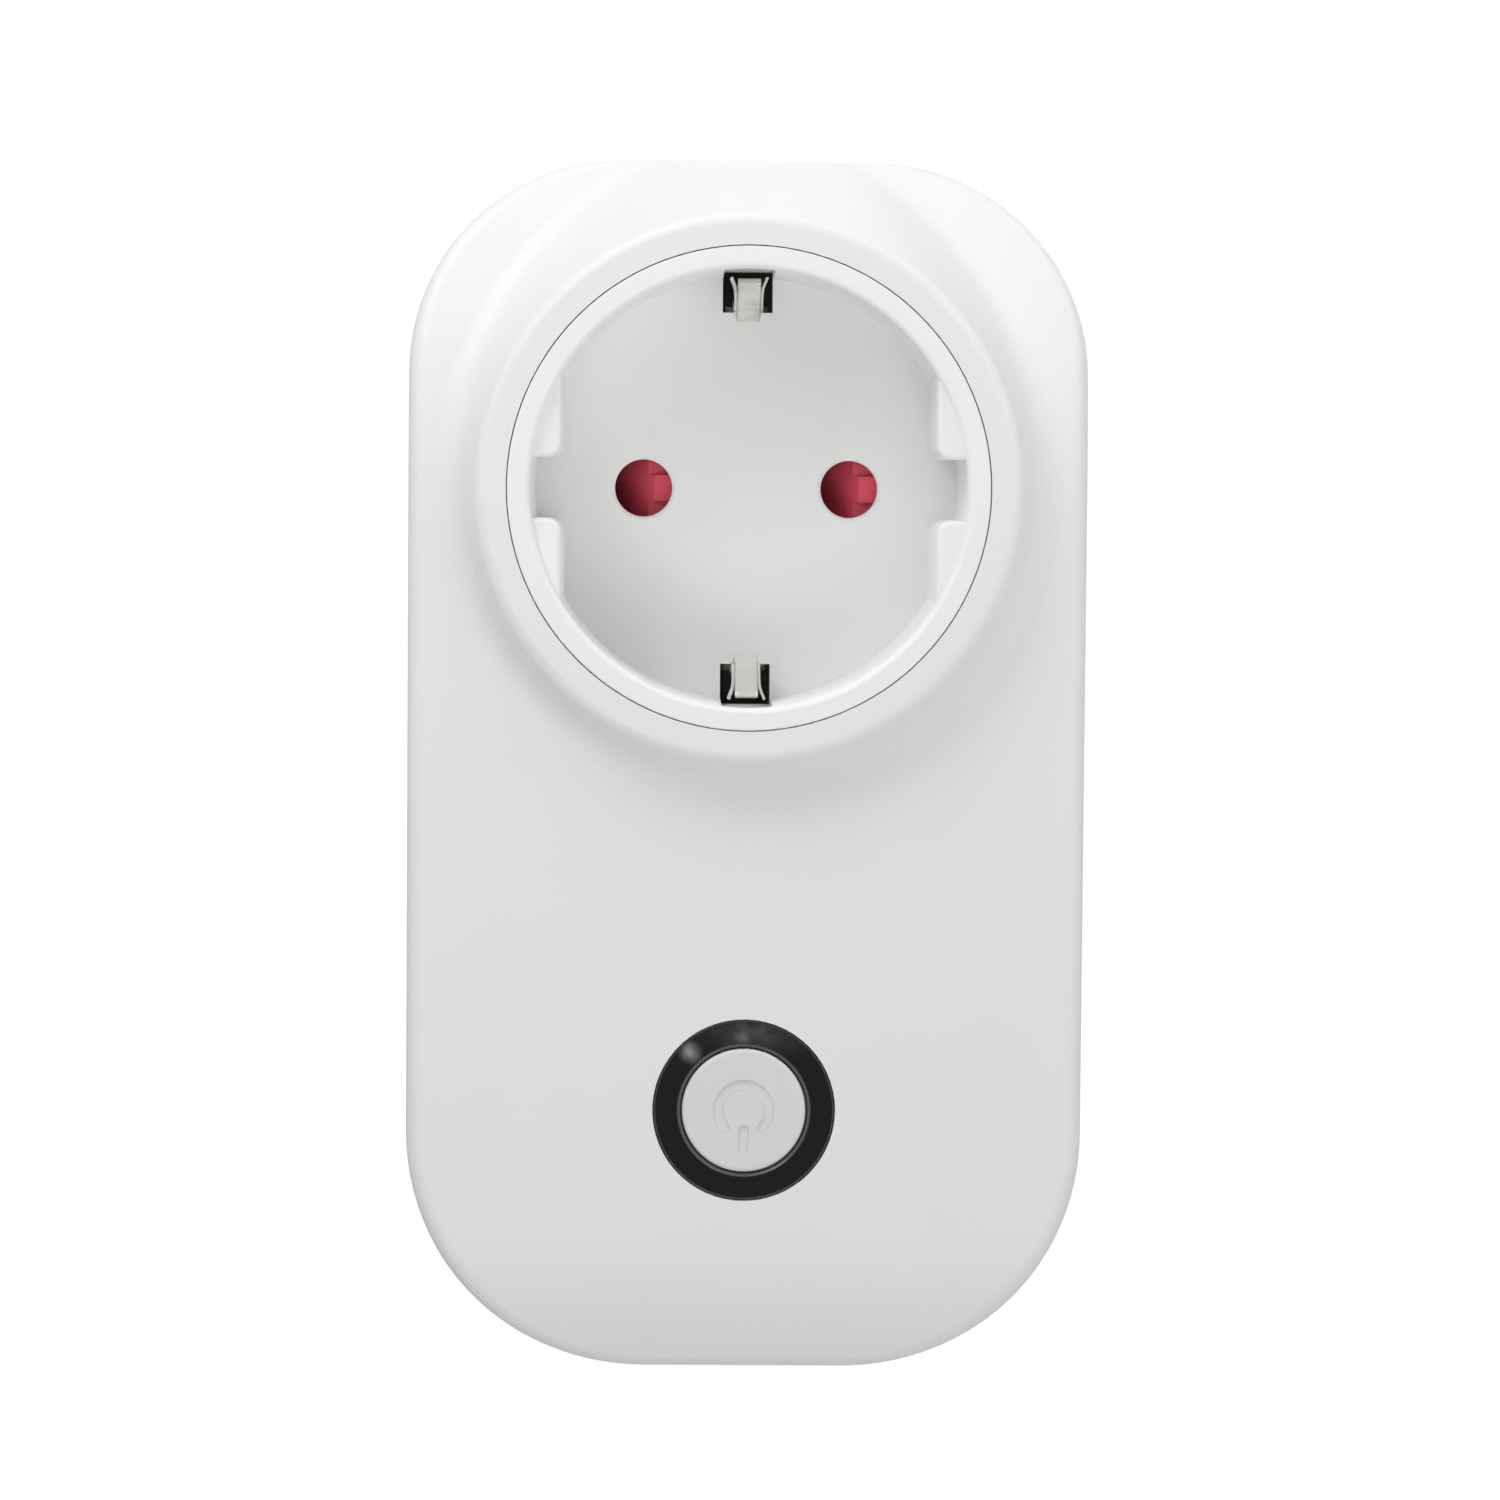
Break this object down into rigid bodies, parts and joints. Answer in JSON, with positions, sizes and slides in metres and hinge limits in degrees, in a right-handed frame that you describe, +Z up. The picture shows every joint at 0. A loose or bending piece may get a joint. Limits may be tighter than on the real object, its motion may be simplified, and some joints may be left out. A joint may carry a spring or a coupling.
{
  "type": "plug in power meter",
  "caption": "White wall plug adapter with an earthed socket on its upper front and a round push button in a dark light ring below.",
  "frame": {"origin": "midway between the roots of the plug's pins, on the front of the plug's nose", "axes": "+Y along the pins into the wall, +Z up along the height, +X to the right for someone who faces the socket"},
  "size_m": [0.0614, 0.0722, 0.11],
  "materials": {
    "shell_plastic": "fine spark-eroded texture",
    "cap_plastic": "satin",
    "red_plastic": "satin",
    "carrier_plastic": "plain moulded",
    "spring_steel": "drawn wire",
    "nickel_plate": "bright nickel plate",
    "contact_brass": "stamped strip",
    "smoked_plastic": "polished, smoky and translucent",
    "led_package": "clear epoxy",
    "switch_plastic": "plain moulded",
    "circuit_board": "solder mask",
    "tinned_steel": "tinned",
    "relay_plastic": "plain moulded",
    "capacitor_box": "plain moulded",
    "varistor_coat": "dipped epoxy",
    "fuse_body": "fired",
    "shunt_metal": "rolled strip",
    "ferrite": "sintered",
    "winding_tape": "wound tape",
    "capacitor_can": "sleeved can",
    "chip_epoxy": "moulded epoxy",
    "brown_wire": "extruded",
    "blue_wire": "extruded",
    "earth_wire_coat": "extruded, green with a yellow stripe",
    "screw_steel": "zinc plated",
    "label_film": "silver polyester film"
  },
  "bodies": {
    "casing": {"board_header": "switch_plastic", "board_screws": "screw_steel", "bridge_rectifier": "chip_epoxy", "bulk_capacitor_1": "capacitor_can", "bulk_capacitor_2": "capacitor_can", "carrier_screws": "screw_steel", "control_board": "circuit_board", "control_screws": "screw_steel", "converter_chip": "chip_epoxy", "earth_clip_bracket": "nickel_plate", "earth_sleeve": "contact_brass", "earth_wire": "earth_wire_coat", "front_shell": "shell_plastic", "fuse": "fuse_body", "header_pins": "contact_brass", "light_ring": "smoked_plastic", "live_contact": "contact_brass", "live_pin": "nickel_plate", "live_wire": "brown_wire", "load_wire": "brown_wire", "main_board": "circuit_board", "mains_capacitor": "capacitor_box", "metering_chip": "chip_epoxy", "neutral_contact": "contact_brass", "neutral_pin": "nickel_plate", "neutral_wire": "blue_wire", "output_capacitor": "capacitor_can", "plug_earth_bridge": "nickel_plate", "radio_module": "circuit_board", "radio_shield": "tinned_steel", "rating_label": "label_film", "rear_shell": "shell_plastic", "relay_base": "relay_plastic", "relay_case": "relay_plastic", "return_wire": "blue_wire", "ring_leds": "led_package", "shell_screws": "screw_steel", "shunt": "shunt_metal", "shutter_carrier": "carrier_plastic", "shutter_spring": "spring_steel", "socket_insert": "shell_plastic", "switch_body": "switch_plastic", "transformer_coil": "winding_tape", "transformer_core": "ferrite", "varistor": "varistor_coat", "wire_terminals": "tinned_steel"},
    "button": {"button_cap": "cap_plastic", "switch_plunger": "switch_plastic"},
    "shutter_slide_body": {"shutter": "red_plastic"}
  },
  "joints": [
    {"name": "button_press", "type": "slide", "parent": "casing", "child": "button", "axis": [0, 1, 0], "range_m": [0, 0.0005], "stiffness_N_per_m": 2500},
    {"name": "shutter_slide", "type": "slide", "parent": "casing", "child": "shutter_slide_body", "axis": [1, 0, 0], "range_m": [0, 0.006], "stiffness_N_per_m": 150, "springref_m": -0.001, "deforming": ["shutter_spring"]}
  ]
}
